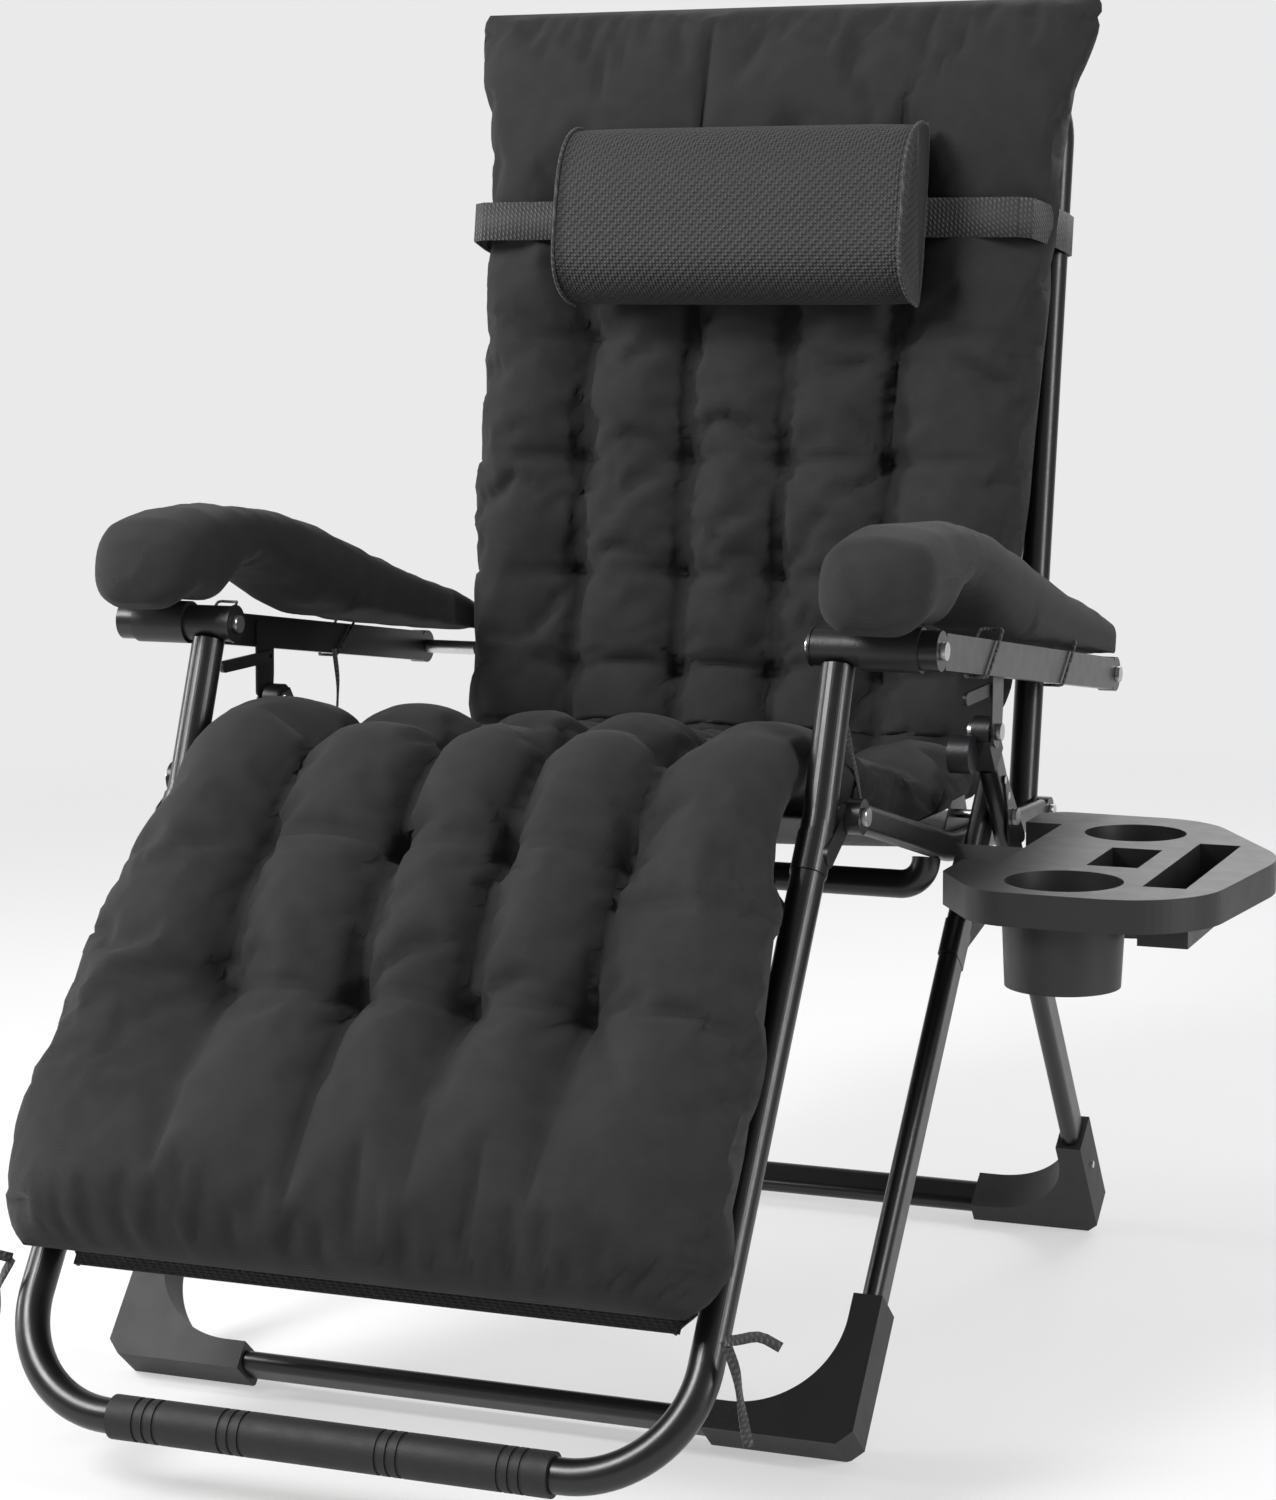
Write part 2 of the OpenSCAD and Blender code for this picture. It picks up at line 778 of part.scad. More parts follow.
module tray_outline() {
  $fn = 72;
  hull() {
    translate([tray_in + 12, tray_front + 88]) circle(r = 12);
    translate([tray_in + 78, tray_front + 60]) circle(r = 52);
    translate([tray_in + tray_wide - 92, tray_front + 90]) circle(r = 84);
    translate([tray_in + tray_wide - 110, tray_back - 200]) circle(r = 116);
    translate([tray_in + tray_wide - 138, tray_back - 84]) circle(r = 80);
    translate([tray_in + 26, tray_back - 26]) circle(r = 26);
  }
}

module tray_plan() {
  difference() {
    tray_outline();
    translate([tray_in - 20, notch[0]]) square([20 + notch_deep, notch[1] - notch[0]]);
  }
}

module pocket(w, l, depth, p) {
  translate([p[0] - w / 2, p[1] - l / 2, tray_z - depth]) cube([w, l, depth + 1]);
}

phone = [44, 92, 34];     // width, length and depth of the phone pocket
phone_at = [tray_in + 128, 26];
slot = [36, 216, 46];     // width, length and depth of the long slot
slot_at = [tray_in + 191, 8];

module tray_pockets(grow) {
  pocket(phone[0] + 2 * grow, phone[1] + 2 * grow, phone[2] + grow, phone_at);
  pocket(slot[0] + 2 * grow, slot[1] + 2 * grow, slot[2] + grow, slot_at);
}

module cup_hole(p, r, grow) {
  translate([p[0], p[1], tray_z - cup_depth - grow])
    cylinder(h = cup_depth + grow + (grow > 0 ? 0 : 1), r1 = r - 4 + grow, r2 = r + grow);
}

hook_down = 60;       // distance of the tray's hook down the front leg from the crossing
hook_t = 10;
hook_len = 30;

module below_top() {
  intersection() {
    children();
    translate([0, -1000, 0]) cube([2000, 2000, tray_z]);
  }
}

module tray() {
  color("#222223") {
    difference() {
      union() {
        translate([0, 0, tray_z - tray_rim]) linear_extrude(tray_rim) difference() {
          tray_plan();
          offset(-tray_wall) tray_plan();
        }
        translate([0, 0, tray_z - tray_wall]) linear_extrude(tray_wall) tray_plan();
        below_top() tray_pockets(tray_wall);
        below_top() {
          cup_hole(cup1, cup_r, tray_wall);
          cup_hole(cup2, cup2_r, tray_wall);
        }
      }
      tray_pockets(0);
      cup_hole(cup1, cup_r, 0);
      cup_hole(cup2, cup2_r, 0);
    }
    at(P - hook_down * front_leg_dir, front_in) rotate([front_tilt - 90, 0, 0])
      translate([0, -leg_w / 2 - seat_gap - hook_t, -hook_len / 2 - 3])
      cube([tray_in + notch_deep + tray_wall - front_in, hook_t, hook_len]);
  }
}

// The origin goes under the middle of the whole chair's box, tray included
x_high = tray_in + tray_wide + 6;
x_low = -(pad_in + pad_w);
y_high = back_end[0] + tube_d / 2;
y_low = foot_end[0] - tube_d / 2 - foot_fit - grip_t;
origin = [(x_low + x_high) / 2, (y_low + y_high) / 2, 0];

translate(-origin) {
  front_leg(1);  // front_leg_left
  front_leg(-1);  // front_leg_right
  front_floor_bar();
  foot(1, F, front_tilt, front_x);  // front_foot_left
  foot(-1, F, front_tilt, front_x);  // front_foot_right
  brace_clamps();
  leg_brace(1);  // leg_brace_left
  leg_brace(-1);  // leg_brace_right
  rear_leg(1);  // rear_leg_left
  rear_leg(-1);  // rear_leg_right
  rear_floor_bar();
  foot(1, R, rear_tilt, rear_x);  // rear_foot_left
  foot(-1, R, rear_tilt, rear_x);  // rear_foot_right
  scissor_plate(1);  // scissor_plate_left
  scissor_plate(-1);  // scissor_plate_right
  leg_head(1);  // leg_head_left
  leg_head(-1);  // leg_head_right
  leg_rivets();
  seat_pivot_bolts();
  seat_rail(1);  // seat_rail_left
  seat_rail(-1);  // seat_rail_right
  seat_pivot_plates();
  seat_crossbar();
  seat_sling();
  cushion_seat();
  cushion_knee();
  cushion_lumbar();
  footrest_pivot_bolts();
  footrest_tube(1);  // footrest_tube_left
  footrest_tube(-1);  // footrest_tube_right
  foot_bar();
  foot_grip();
  footrest_brackets();
  front_tees();
  footrest_sling();
  cushion_legs();
  backrest_pivot_bolts();
  back_tube(1);  // back_tube_left
  back_tube(-1);  // back_tube_right
  back_top_bar();
  back_sling();
  cushion_back();
  webbing_strap();
  armrest_rear_pins();
  head_pillow();
  armrest_front_bolts();
  armrest_rail(1);  // armrest_rail_left
  armrest_rail(-1);  // armrest_rail_right
  armrest_pad(1);  // armrest_pad_left
  armrest_pad(-1);  // armrest_pad_right
  armrest_hub(1);  // armrest_hub_left
  armrest_hub(-1);  // armrest_hub_right
  lock_bolts();
  lock_plate(1);  // lock_plate_left
  lock_plate(-1);  // lock_plate_right
  lock_lever(1);  // lock_lever_left
  lock_lever(-1);  // lock_lever_right
  tray();
}
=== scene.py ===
"""Zero gravity recliner: cushions, pads, slings, strap, ties, finishes, light and camera."""
import json
import math

import bpy
import numpy as np
from mathutils import Matrix, Vector, noise


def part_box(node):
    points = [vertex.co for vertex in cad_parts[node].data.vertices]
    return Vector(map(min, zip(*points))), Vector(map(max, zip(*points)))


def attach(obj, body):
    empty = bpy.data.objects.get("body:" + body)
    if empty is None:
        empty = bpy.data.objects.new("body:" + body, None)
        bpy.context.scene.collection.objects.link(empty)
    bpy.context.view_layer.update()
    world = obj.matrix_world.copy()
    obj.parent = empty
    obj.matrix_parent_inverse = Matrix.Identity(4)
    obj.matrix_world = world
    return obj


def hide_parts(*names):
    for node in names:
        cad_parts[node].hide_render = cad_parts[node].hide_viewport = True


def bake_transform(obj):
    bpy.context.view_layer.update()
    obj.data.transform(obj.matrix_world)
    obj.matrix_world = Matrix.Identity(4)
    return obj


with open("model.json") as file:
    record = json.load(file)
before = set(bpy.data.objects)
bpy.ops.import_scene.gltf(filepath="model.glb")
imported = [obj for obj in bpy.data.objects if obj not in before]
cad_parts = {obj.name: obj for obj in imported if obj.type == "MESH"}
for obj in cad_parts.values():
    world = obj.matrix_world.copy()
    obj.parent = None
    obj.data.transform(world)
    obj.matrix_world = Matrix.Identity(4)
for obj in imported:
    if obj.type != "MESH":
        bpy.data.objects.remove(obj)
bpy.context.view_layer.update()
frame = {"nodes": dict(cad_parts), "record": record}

# ---------- places, from the frame's own pivots (metres, row frame) ----------

pivot = {j["name"]: Vector(j["pos_m"])
         for j in frame["record"]["behaviour"]["joints"] if "pos_m" in j}
MID = pivot["footrest_recline"].x
SEAT_FRONT = np.array(pivot["footrest_recline"][1:])
SEAT_REAR = np.array(pivot["backrest_recline"][1:])
ARM_FRONT = np.array(pivot["armrest_recline"][1:])
SEAT_UNIT = (SEAT_REAR - SEAT_FRONT) / np.linalg.norm(SEAT_REAR - SEAT_FRONT)
BACK_UP = (ARM_FRONT - SEAT_FRONT) / np.linalg.norm(ARM_FRONT - SEAT_FRONT)
BACK_OUT = np.array([-BACK_UP[1], BACK_UP[0]])
FOOT_LEAN = math.radians(35)
FOOT_UP = np.array([math.sin(FOOT_LEAN), math.cos(FOOT_LEAN)])
FOOT_OUT = np.array([-FOOT_UP[1], FOOT_UP[0]])
KNEE = SEAT_FRONT - np.array([0.031, 0.002])
TUBE_R = 0.014
TUBE_X = 0.288
STRAP_AT = 0.561


def on_foot(v, n):
    """A side-view point of the footrest: v up from the knee, n out of its plane."""
    return KNEE + v * FOOT_UP + n * FOOT_OUT


def on_back(v, n):
    """A side-view point of the backrest: v up from its pivot, n out of its plane."""
    return SEAT_REAR + v * BACK_UP + n * BACK_OUT


# ---------- camera ----------

YAW, PITCH, ROLL = math.radians(21.088), math.radians(8.483), math.radians(-0.249)
CAMERA_AT = (1.0388, -2.7604, 0.9635)


def add_camera():
    right = Vector((math.cos(YAW), math.sin(YAW), 0))
    ahead = Vector((-math.sin(YAW) * math.cos(PITCH), math.cos(YAW) * math.cos(PITCH),
                    -math.sin(PITCH)))
    up = right.cross(ahead)
    right, up = (math.cos(ROLL) * right + math.sin(ROLL) * up,
                 math.cos(ROLL) * up - math.sin(ROLL) * right)
    data = bpy.data.cameras.new("camera")
    camera = bpy.data.objects.new("camera", data)
    turn = Matrix((right, up, -ahead)).transposed().to_4x4()
    camera.matrix_world = Matrix.Translation(CAMERA_AT) @ turn
    data.sensor_fit = "VERTICAL"
    data.sensor_height = 24
    data.lens = 54.41
    data.shift_x = -0.0271
    data.shift_y = 0.0089
    bpy.context.scene.collection.objects.link(camera)
    bpy.context.scene.camera = camera


add_camera()

# ---------- materials ----------


class Nodes:
    """A small helper that builds one node material."""

    def __init__(self, name, color, rough, **settings):
        self.material = bpy.data.materials.new(name)
        self.material.use_nodes = True
        self.tree = self.material.node_tree
        self.shader = self.tree.nodes["Principled BSDF"]
        self.shader.inputs["Base Color"].default_value = (*color, 1)
        self.shader.inputs["Roughness"].default_value = rough
        for key, value in settings.items():
            self.shader.inputs[key.replace("_", " ")].default_value = value
        self.where = self.new("ShaderNodeTexCoord")

    def new(self, kind, **values):
        node = self.tree.nodes.new(kind)
        for key, value in values.items():
            if hasattr(node, key):
                setattr(node, key, value)
            else:
                node.inputs[key].default_value = value
        return node

    def link(self, a, b):
        self.tree.links.new(a, b)

    def noise(self, scale, detail=3, space="Object"):
        node = self.new("ShaderNodeTexNoise", Scale=scale, Detail=detail)
        self.link(self.where.outputs[space], node.inputs["Vector"])
        return node.outputs["Fac"]

    def wave(self, period, direction, space="UV"):
        node = self.new("ShaderNodeTexWave", wave_type="BANDS", bands_direction=direction,
                        Scale=0.314 / period)
        self.link(self.where.outputs[space], node.inputs["Vector"])
        return node.outputs["Fac"]

    def math(self, kind, a, b):
        node = self.new("ShaderNodeMath", operation=kind)
        for socket, value in zip(node.inputs, (a, b)):
            if isinstance(value, (int, float)):
                socket.default_value = value
            else:
                self.link(value, socket)
        return node.outputs[0]

    def color(self, fac, low, high):
        ramp = self.new("ShaderNodeMix", data_type="RGBA")
        ramp.inputs["A"].default_value = (*low, 1)
        ramp.inputs["B"].default_value = (*high, 1)
        self.link(fac, ramp.inputs["Factor"])
        self.link(ramp.outputs["Result"], self.shader.inputs["Base Color"])

    def rough(self, fac, low, high):
        span = self.new("ShaderNodeMapRange")
        span.inputs["To Min"].default_value = low
        span.inputs["To Max"].default_value = high
        self.link(fac, span.inputs["Value"])
        self.link(span.outputs["Result"], self.shader.inputs["Roughness"])

    def bump(self, height, distance, strength=1.0):
        node = self.new("ShaderNodeBump", Strength=strength, Distance=distance)
        self.link(height, node.inputs["Height"])
        self.link(node.outputs["Normal"], self.shader.inputs["Normal"])
        return self.material


def powder_coat(name, low, high):
    m = Nodes(name, low, 0.3, Specular_IOR_Level=0.5)
    m.color(m.noise(9), low, high)
    m.rough(m.noise(60, 4), 0.24, 0.38)
    return m.bump(m.noise(1500, 2), 0.0002, 0.25)


def bare_steel():
    m = Nodes("zinc_steel", (0.6, 0.6, 0.61), 0.3, Metallic=1.0)
    m.rough(m.noise(180, 4), 0.22, 0.48)
    return m.bump(m.noise(900, 3), 0.0002, 0.3)


def grained_plastic(name, color, grain, depth, rough):
    m = Nodes(name, color, rough, Specular_IOR_Level=0.45)
    m.color(m.noise(14), color, tuple(1.35 * c for c in color))
    m.rough(m.noise(40, 3), rough - 0.06, rough + 0.1)
    return m.bump(m.noise(grain, 3), depth, 0.6)


def brushed_cloth():
    m = Nodes("brushed_cloth", (0.02, 0.02, 0.0205), 0.85, Specular_IOR_Level=0.2,
              Sheen_Weight=0.12, Sheen_Roughness=0.4, Sheen_Tint=(0.5, 0.5, 0.52, 1))
    weave = m.math("ADD", m.wave(0.0011, "X"), m.wave(0.0011, "Y"))
    slub = m.noise(45, 5)
    m.color(slub, (0.0155, 0.0155, 0.016), (0.028, 0.028, 0.029))
    return m.bump(m.math("ADD", m.math("MULTIPLY", weave, 0.35), m.noise(520, 3)), 0.0006, 0.5)


def open_mesh(name, period, low, high, depth):
    m = Nodes(name, low, 0.62, Specular_IOR_Level=0.35, Sheen_Weight=0.1, Sheen_Roughness=0.4)
    knit = m.math("MULTIPLY", m.wave(period, "X"), m.wave(period, "Y"))
    diagonal = m.math("MULTIPLY", m.wave(period * 1.414, "DIAGONAL"), 0.5)
    pattern = m.math("ADD", knit, diagonal)
    m.color(pattern, low, high)
    return m.bump(pattern, depth, 0.9)


def webbing():
    m = Nodes("webbing", (0.03, 0.03, 0.031), 0.7, Sheen_Weight=0.2)
    rib = m.math("MULTIPLY", m.wave(0.0042, "X"), m.wave(0.0026, "DIAGONAL"))
    m.color(rib, (0.012, 0.012, 0.013), (0.06, 0.06, 0.062))
    return m.bump(rib, 0.0009, 0.9)


def foam_rubber():
    m = Nodes("foam_rubber", (0.012, 0.012, 0.013), 0.6, Specular_IOR_Level=0.4)
    m.rough(m.noise(70, 3), 0.5, 0.72)
    return m.bump(m.noise(700, 4), 0.0004, 0.6)


COAT = powder_coat("powder_coat", (0.004, 0.004, 0.0042), (0.007, 0.007, 0.0074))
RAIL = powder_coat("rail_coat", (0.006, 0.006, 0.0064), (0.01, 0.01, 0.0105))
STEEL = bare_steel()
SHOE = grained_plastic("shoe_plastic", (0.011, 0.011, 0.012), 900, 0.0006, 0.55)
JOINT = grained_plastic("joint_plastic", (0.008, 0.008, 0.009), 500, 0.0003, 0.4)
TRAY = grained_plastic("tray_plastic", (0.011, 0.011, 0.012), 1300, 0.0003, 0.42)
CLOTH = brushed_cloth()
PILLOW = open_mesh("pillow_mesh", 0.0034, (0.005, 0.005, 0.006), (0.045, 0.045, 0.047), 0.0012)
SLING = open_mesh("sling_mesh", 0.0026, (0.004, 0.004, 0.005), (0.03, 0.03, 0.031), 0.0008)
BAND = webbing()
GRIP = foam_rubber()

FINISH = {"powder_coat": COAT, "rail_coat": RAIL, "bolt_steel": STEEL, "foot_plastic": SHOE,
          "joint_plastic": JOINT, "tray_plastic": TRAY, "grip_rubber": GRIP, "sling_cloth": SLING}


def finish_cad():
    for part in frame["record"]["subparts"]:
        material = FINISH.get(part["material_slot"])
        node = frame["nodes"][part["node"]]
        if material and node.data.materials:
            for k in range(len(node.data.materials)):
                node.material_slots[k].material = material


# ---------- mesh helpers ----------


def smooth_curve(points, step):
    """Points a step apart along a smooth curve through the given ones."""
    p = np.array(points, float)
    p = np.vstack([2 * p[0] - p[1], p, 2 * p[-1] - p[-2]])
    out = []
    for a, b, c, d in zip(p, p[1:], p[2:], p[3:]):
        for t in np.linspace(0, 1, 24, endpoint=False):
            out.append(0.5 * (2 * b + (c - a) * t + (2 * a - 5 * b + 4 * c - d) * t * t
                              + (3 * b - a - 3 * c + d) * t ** 3))
    out = np.array(out + [p[-2]])
    length = np.concatenate([[0], np.cumsum(np.linalg.norm(np.diff(out, axis=0), axis=1))])
    s = np.linspace(0, length[-1], int(length[-1] / step) + 1)
    return np.stack([np.interp(s, length, out[:, k]) for k in range(out.shape[1])], 1), s


def tangents(curve):
    t = np.gradient(curve, axis=0)
    return t / np.linalg.norm(t, axis=1)[:, None]


def mesh_object(name, points, faces, material, uv=None):
    mesh = bpy.data.meshes.new(name)
    mesh.from_pydata([tuple(p) for p in points], [], [tuple(f) for f in faces])
    if uv is not None:
        layer = mesh.uv_layers.new(name="UVMap")
        corner = np.empty(len(mesh.loops), int)
        mesh.loops.foreach_get("vertex_index", corner)
        layer.data.foreach_set("uv", np.asarray(uv, np.float32)[corner].ravel())
    mesh.polygons.foreach_set("use_smooth", [True] * len(mesh.polygons))
    mesh.materials.append(material)
    obj = bpy.data.objects.new(name, mesh)
    bpy.context.scene.collection.objects.link(obj)
    return obj


def tube_faces(rings, around, closed_ends=True):
    """Faces of a grid of rings, each a closed loop of points."""
    faces = [(i * around + j, i * around + (j + 1) % around,
              (i + 1) * around + (j + 1) % around, (i + 1) * around + j)
             for i in range(rings - 1) for j in range(around)]
    if closed_ends:
        faces.append(tuple(range(around))[::-1])
        faces.append(tuple((rings - 1) * around + j for j in range(around)))
    return faces


def strip(name, centre, side, width, thick, material):
    """A flat ribbon along centre points, as wide as width along side, with a real thickness."""
    centre = np.array(centre, float)
    side = np.array(side, float)
    run = tangents(centre)
    side = np.broadcast_to(side, centre.shape) if side.ndim == 1 else side
    normal = np.cross(run, side)
    normal /= np.linalg.norm(normal, axis=1)[:, None]
    along = np.concatenate([[0], np.cumsum(np.linalg.norm(np.diff(centre, axis=0), axis=1))])
    points, uv = [], []
    for c, w, n, s in zip(centre, side, normal, along):
        for a, b in ((-1, -1), (0, -1), (1, -1), (1, 1), (0, 1), (-1, 1)):
            points.append(c + a * width / 2 * w + b * thick / 2 * n)
            uv.append((s, a * width / 2))
    return mesh_object(name, points, tube_faces(len(centre), 6), material, uv)


def round_cord(name, centre, radius, material, around=8):
    centre = np.array(centre, float)
    run = tangents(centre)
    points, uv = [], []
    ref = np.array([1.0, 0, 0]) if abs(run[0][0]) < 0.9 else np.array([0, 1.0, 0])
    for k, (c, t) in enumerate(zip(centre, run)):
        ref = ref - t * (ref @ t)
        ref /= np.linalg.norm(ref)
        other = np.cross(t, ref)
        for j in range(around):
            a = 2 * math.pi * j / around
            points.append(c + radius * (math.cos(a) * ref + math.sin(a) * other))
            uv.append((k * 0.004, a * radius))
    return mesh_object(name, points, tube_faces(len(centre), around), material, uv)


# ---------- lounger cushion ----------

STEP = 0.0075         # spacing of the cushion's cross-sections
TOP_N = 112           # points over the top of a cross-section
LOW_N = 44            # points under it
HEM = -0.434          # lower end of the cushion on the footrest
HEAD = 0.786          # upper end on the backrest
ROWS_LEG = (-0.212, -0.074)
ROWS_BACK = (0.105, 0.215, 0.33, 0.445)


def lounger_path():
    """The cushion's underside in the side view, from the hem to the top."""
    sag = [on_foot(v, n) for v, n in ((HEM, 0.02), (-0.3, 0.016), (-0.18, 0.016), (-0.08, 0.0158),
                                      (-0.03, 0.008), (0.0, 0.0))]
    knee = [SEAT_FRONT + np.array(d) for d in ((-0.008, 0.004), (0.02, 0.006), (0.052, -0.002))]
    seat = [SEAT_FRONT + np.array(d) for d in ((0.1, -0.02), (0.18, -0.043), (0.265, -0.064),
                                               (0.34, -0.069), (0.42, -0.071), (0.48, -0.07))]
    lumbar = [SEAT_REAR + np.array(d) for d in ((-0.058, 0.025), (-0.026, 0.052), (-0.012, 0.09))]
    back = [on_back(v, 0.0148) for v in (0.15, 0.3, 0.45, STRAP_AT, 0.68, HEAD)]
    return smooth_curve(sag + knee + seat + lumbar + back, STEP)


path, along = lounger_path()
path_run = tangents(path)
path_out = np.stack([-path_run[:, 1], path_run[:, 0]], 1)


def station(point):
    """Distance along the cushion of the section nearest to a side-view point."""
    return along[np.argmin(np.linalg.norm(path - point, axis=1))]


S_KNEE = station(SEAT_FRONT + np.array([-0.004, 0.004]))
S_SEAT = station(SEAT_FRONT + np.array([0.1, -0.02]))
S_REAR = station(SEAT_REAR + np.array([-0.06, 0.025]))
S_STRAP = station(on_back(STRAP_AT, 0.015))
row_spots = [station(on_foot(v, 0.016)) for v in ROWS_LEG] + [S_KNEE]
row_spots += list(np.linspace(S_SEAT + 0.03, S_REAR - 0.055, 3))
row_spots += [station(on_back(v, 0.015)) for v in ROWS_BACK] + [S_STRAP]
ROWS = np.array(sorted(row_spots))


def keyed(pairs):
    """A value at each cross-section along the cushion, from (station, value) pairs."""
    pairs = sorted(pairs)
    return np.interp(along, [p[0] for p in pairs], [p[1] for p in pairs])


foot_s = {v: station(on_foot(v, 0.016)) for v in (-0.4, -0.3, -0.2, -0.1, -0.04)}
back_s = {v: station(on_back(v, 0.015)) for v in (0.13, 0.3, 0.5, 0.62, 0.7, 0.76)}

# The cushion's half width, sideways shift, thickness and depth of quilting along its length
HALF = keyed([(0, 0.294), (foot_s[-0.4], 0.309), (foot_s[-0.3], 0.31), (foot_s[-0.2], 0.305),
              (foot_s[-0.1], 0.295), (foot_s[-0.04], 0.277), (S_KNEE, 0.274), (S_SEAT, 0.284),
              (S_REAR - 0.06, 0.284), (S_REAR, 0.272), (back_s[0.13], 0.282), (back_s[0.3], 0.298),
              (back_s[0.5], 0.302), (S_STRAP, 0.297), (back_s[0.62], 0.306), (back_s[0.7], 0.316),
              (back_s[0.76], 0.326), (along[-1], 0.333)])
SHIFT = keyed([(S_REAR, 0), (back_s[0.3], 0.002), (S_STRAP, 0.008), (along[-1], 0.006)])
THICK = keyed([(0, 0.072), (foot_s[-0.3], 0.084), (foot_s[-0.1], 0.078), (S_KNEE, 0.066),
               (S_SEAT, 0.07), (S_REAR - 0.08, 0.07), (S_REAR + 0.01, 0.05), (back_s[0.13], 0.072),
               (back_s[0.5], 0.08), (S_STRAP, 0.07), (back_s[0.7], 0.058), (along[-1], 0.04)])
QUILT = keyed([(foot_s[-0.4], 0), (foot_s[-0.3], 0.22), (ROWS[0], 1), (S_SEAT, 1), (S_REAR, 0.85),
               (back_s[0.13], 0.75), (S_STRAP, 0.7), (back_s[0.62], 0.12), (back_s[0.76], 0)])
VALLEY_LEG = np.array([-0.155, -0.037, 0.060, 0.160])
VALLEY_BACK = np.array([-0.172, -0.063, 0.037, 0.147])


def valleys(s):
    t = np.clip(s / along[-1], 0, 1)
    return (1 - t) * VALLEY_LEG + t * VALLEY_BACK


def lobe(x, edges, power):
    """0 at each edge and 1 midway between edges, rising steeply like a stuffed channel."""
    k = np.clip(np.searchsorted(edges, x) - 1, 0, len(edges) - 2)
    f = (x - edges[k]) / (edges[k + 1] - edges[k])
    return np.sin(np.pi * np.clip(f, 0, 1)) ** power


def top_height(x, s, k):
    """Height of the cushion's top at x across it, at station s."""
    half, thick = HALF[k], THICK[k]
    v = valleys(s)
    edges = np.concatenate([[-half - 0.16], v, [half + 0.16]])
    channel = lobe(x, edges, 0.44)
    outer = (x < v[0]) | (x > v[-1])
    rows = np.concatenate([[ROWS[0] - 0.3], ROWS, [ROWS[-1] + 0.3]])
    puff = lobe(np.full(x.shape, s), rows, 0.46)
    seam = np.where(outer, 0.11 * (s > S_SEAT), 0.12)
    height = thick * (1 - QUILT[k] * (0.5 * (1 - channel) + seam * (1 - puff)))
    for r in ROWS:
        if abs(s - r) > 0.16:
            continue
        for u in valleys(r):
            d = np.hypot(x - u, s - r)
            angle = np.arctan2(s - r, x - u)
            pull = 0.021 * np.exp(-d / 0.02)
            reach = np.exp(-d / 0.055) * (1 - np.exp(-d / 0.012))
            crease = 0.003 * np.abs(np.cos(3.5 * angle + 9 * u + 5 * r)) ** 3 * reach
            height = height - QUILT[k] * (pull + crease)
    return height


def gathers(x, s, end):
    """Small tucks where the cloth is sewn into the seam at an end."""
    d = abs(s - end)
    tuck = np.array([noise.noise(Vector((a * 70, end * 5, d * 6))) for a in x])
    return 0.004 * tuck * math.exp(-d / 0.045)


def lounger_points():
    points, uv, pinned = [], [], []
    t_top = np.linspace(-1, 1, TOP_N)
    t_low = np.linspace(1, -1, LOW_N + 2)[1:-1]
    f = np.concatenate([np.sin(t_top * math.pi / 2) * 0.5 + t_top * 0.5, t_low])
    over = np.concatenate([np.ones(TOP_N), np.zeros(LOW_N)]).astype(bool)
    for k, s in enumerate(along):
        half, thick = HALF[k], THICK[k]
        tail = min(s, along[-1] - s)
        shrink = math.sqrt(max(0.0, 1 - (1 - min(tail / 0.05, 1)) ** 2))
        x = f * (half - 0.012 * (1 - shrink))
        rim = np.sqrt(np.clip(1 - np.abs(f) ** 5, 0, 1))
        middle = 0.4 * thick
        top = middle + (top_height(x, s, k) - middle) * rim
        sway = np.array([noise.noise(Vector((a * 9, s * 9, 0.3))) for a in x])
        ripple = np.array([noise.noise(Vector((a * 34, s * 34, 1.7))) for a in x])
        top = top + (0.005 * sway + 0.0016 * ripple) * rim
        top = top + gathers(x, s, 0.0) + gathers(x, s, along[-1]) * 0.6
        low = middle - middle * rim
        n = middle + (np.where(over, top, low) - middle) * shrink
        edge = 1 + 0.006 * noise.noise(Vector((s * 7, 3, 1)))
        place = path[k] + np.outer(n, path_out[k])
        points += [(MID + SHIFT[k] + a * edge, p[0], p[1]) for a, p in zip(x, place)]
        uv += [(a, s + (0 if o else 3)) for a, o in zip(x, over)]
        near_row = np.min(np.abs(ROWS - s)) < 0.008
        near = np.min(np.abs(x[:, None] - valleys(s)[None, :]), axis=1)
        hold = np.where(over, np.where(near < 0.012, 0.5 * QUILT[k], 0.0), 1.0)
        if near_row:
            hold = np.maximum(hold, np.where(over & (near < 0.012), QUILT[k], 0))
        if tail < 0.012:
            hold = np.ones_like(hold)
        pinned.append(hold)
    return np.array(points), np.array(uv), np.concatenate(pinned)


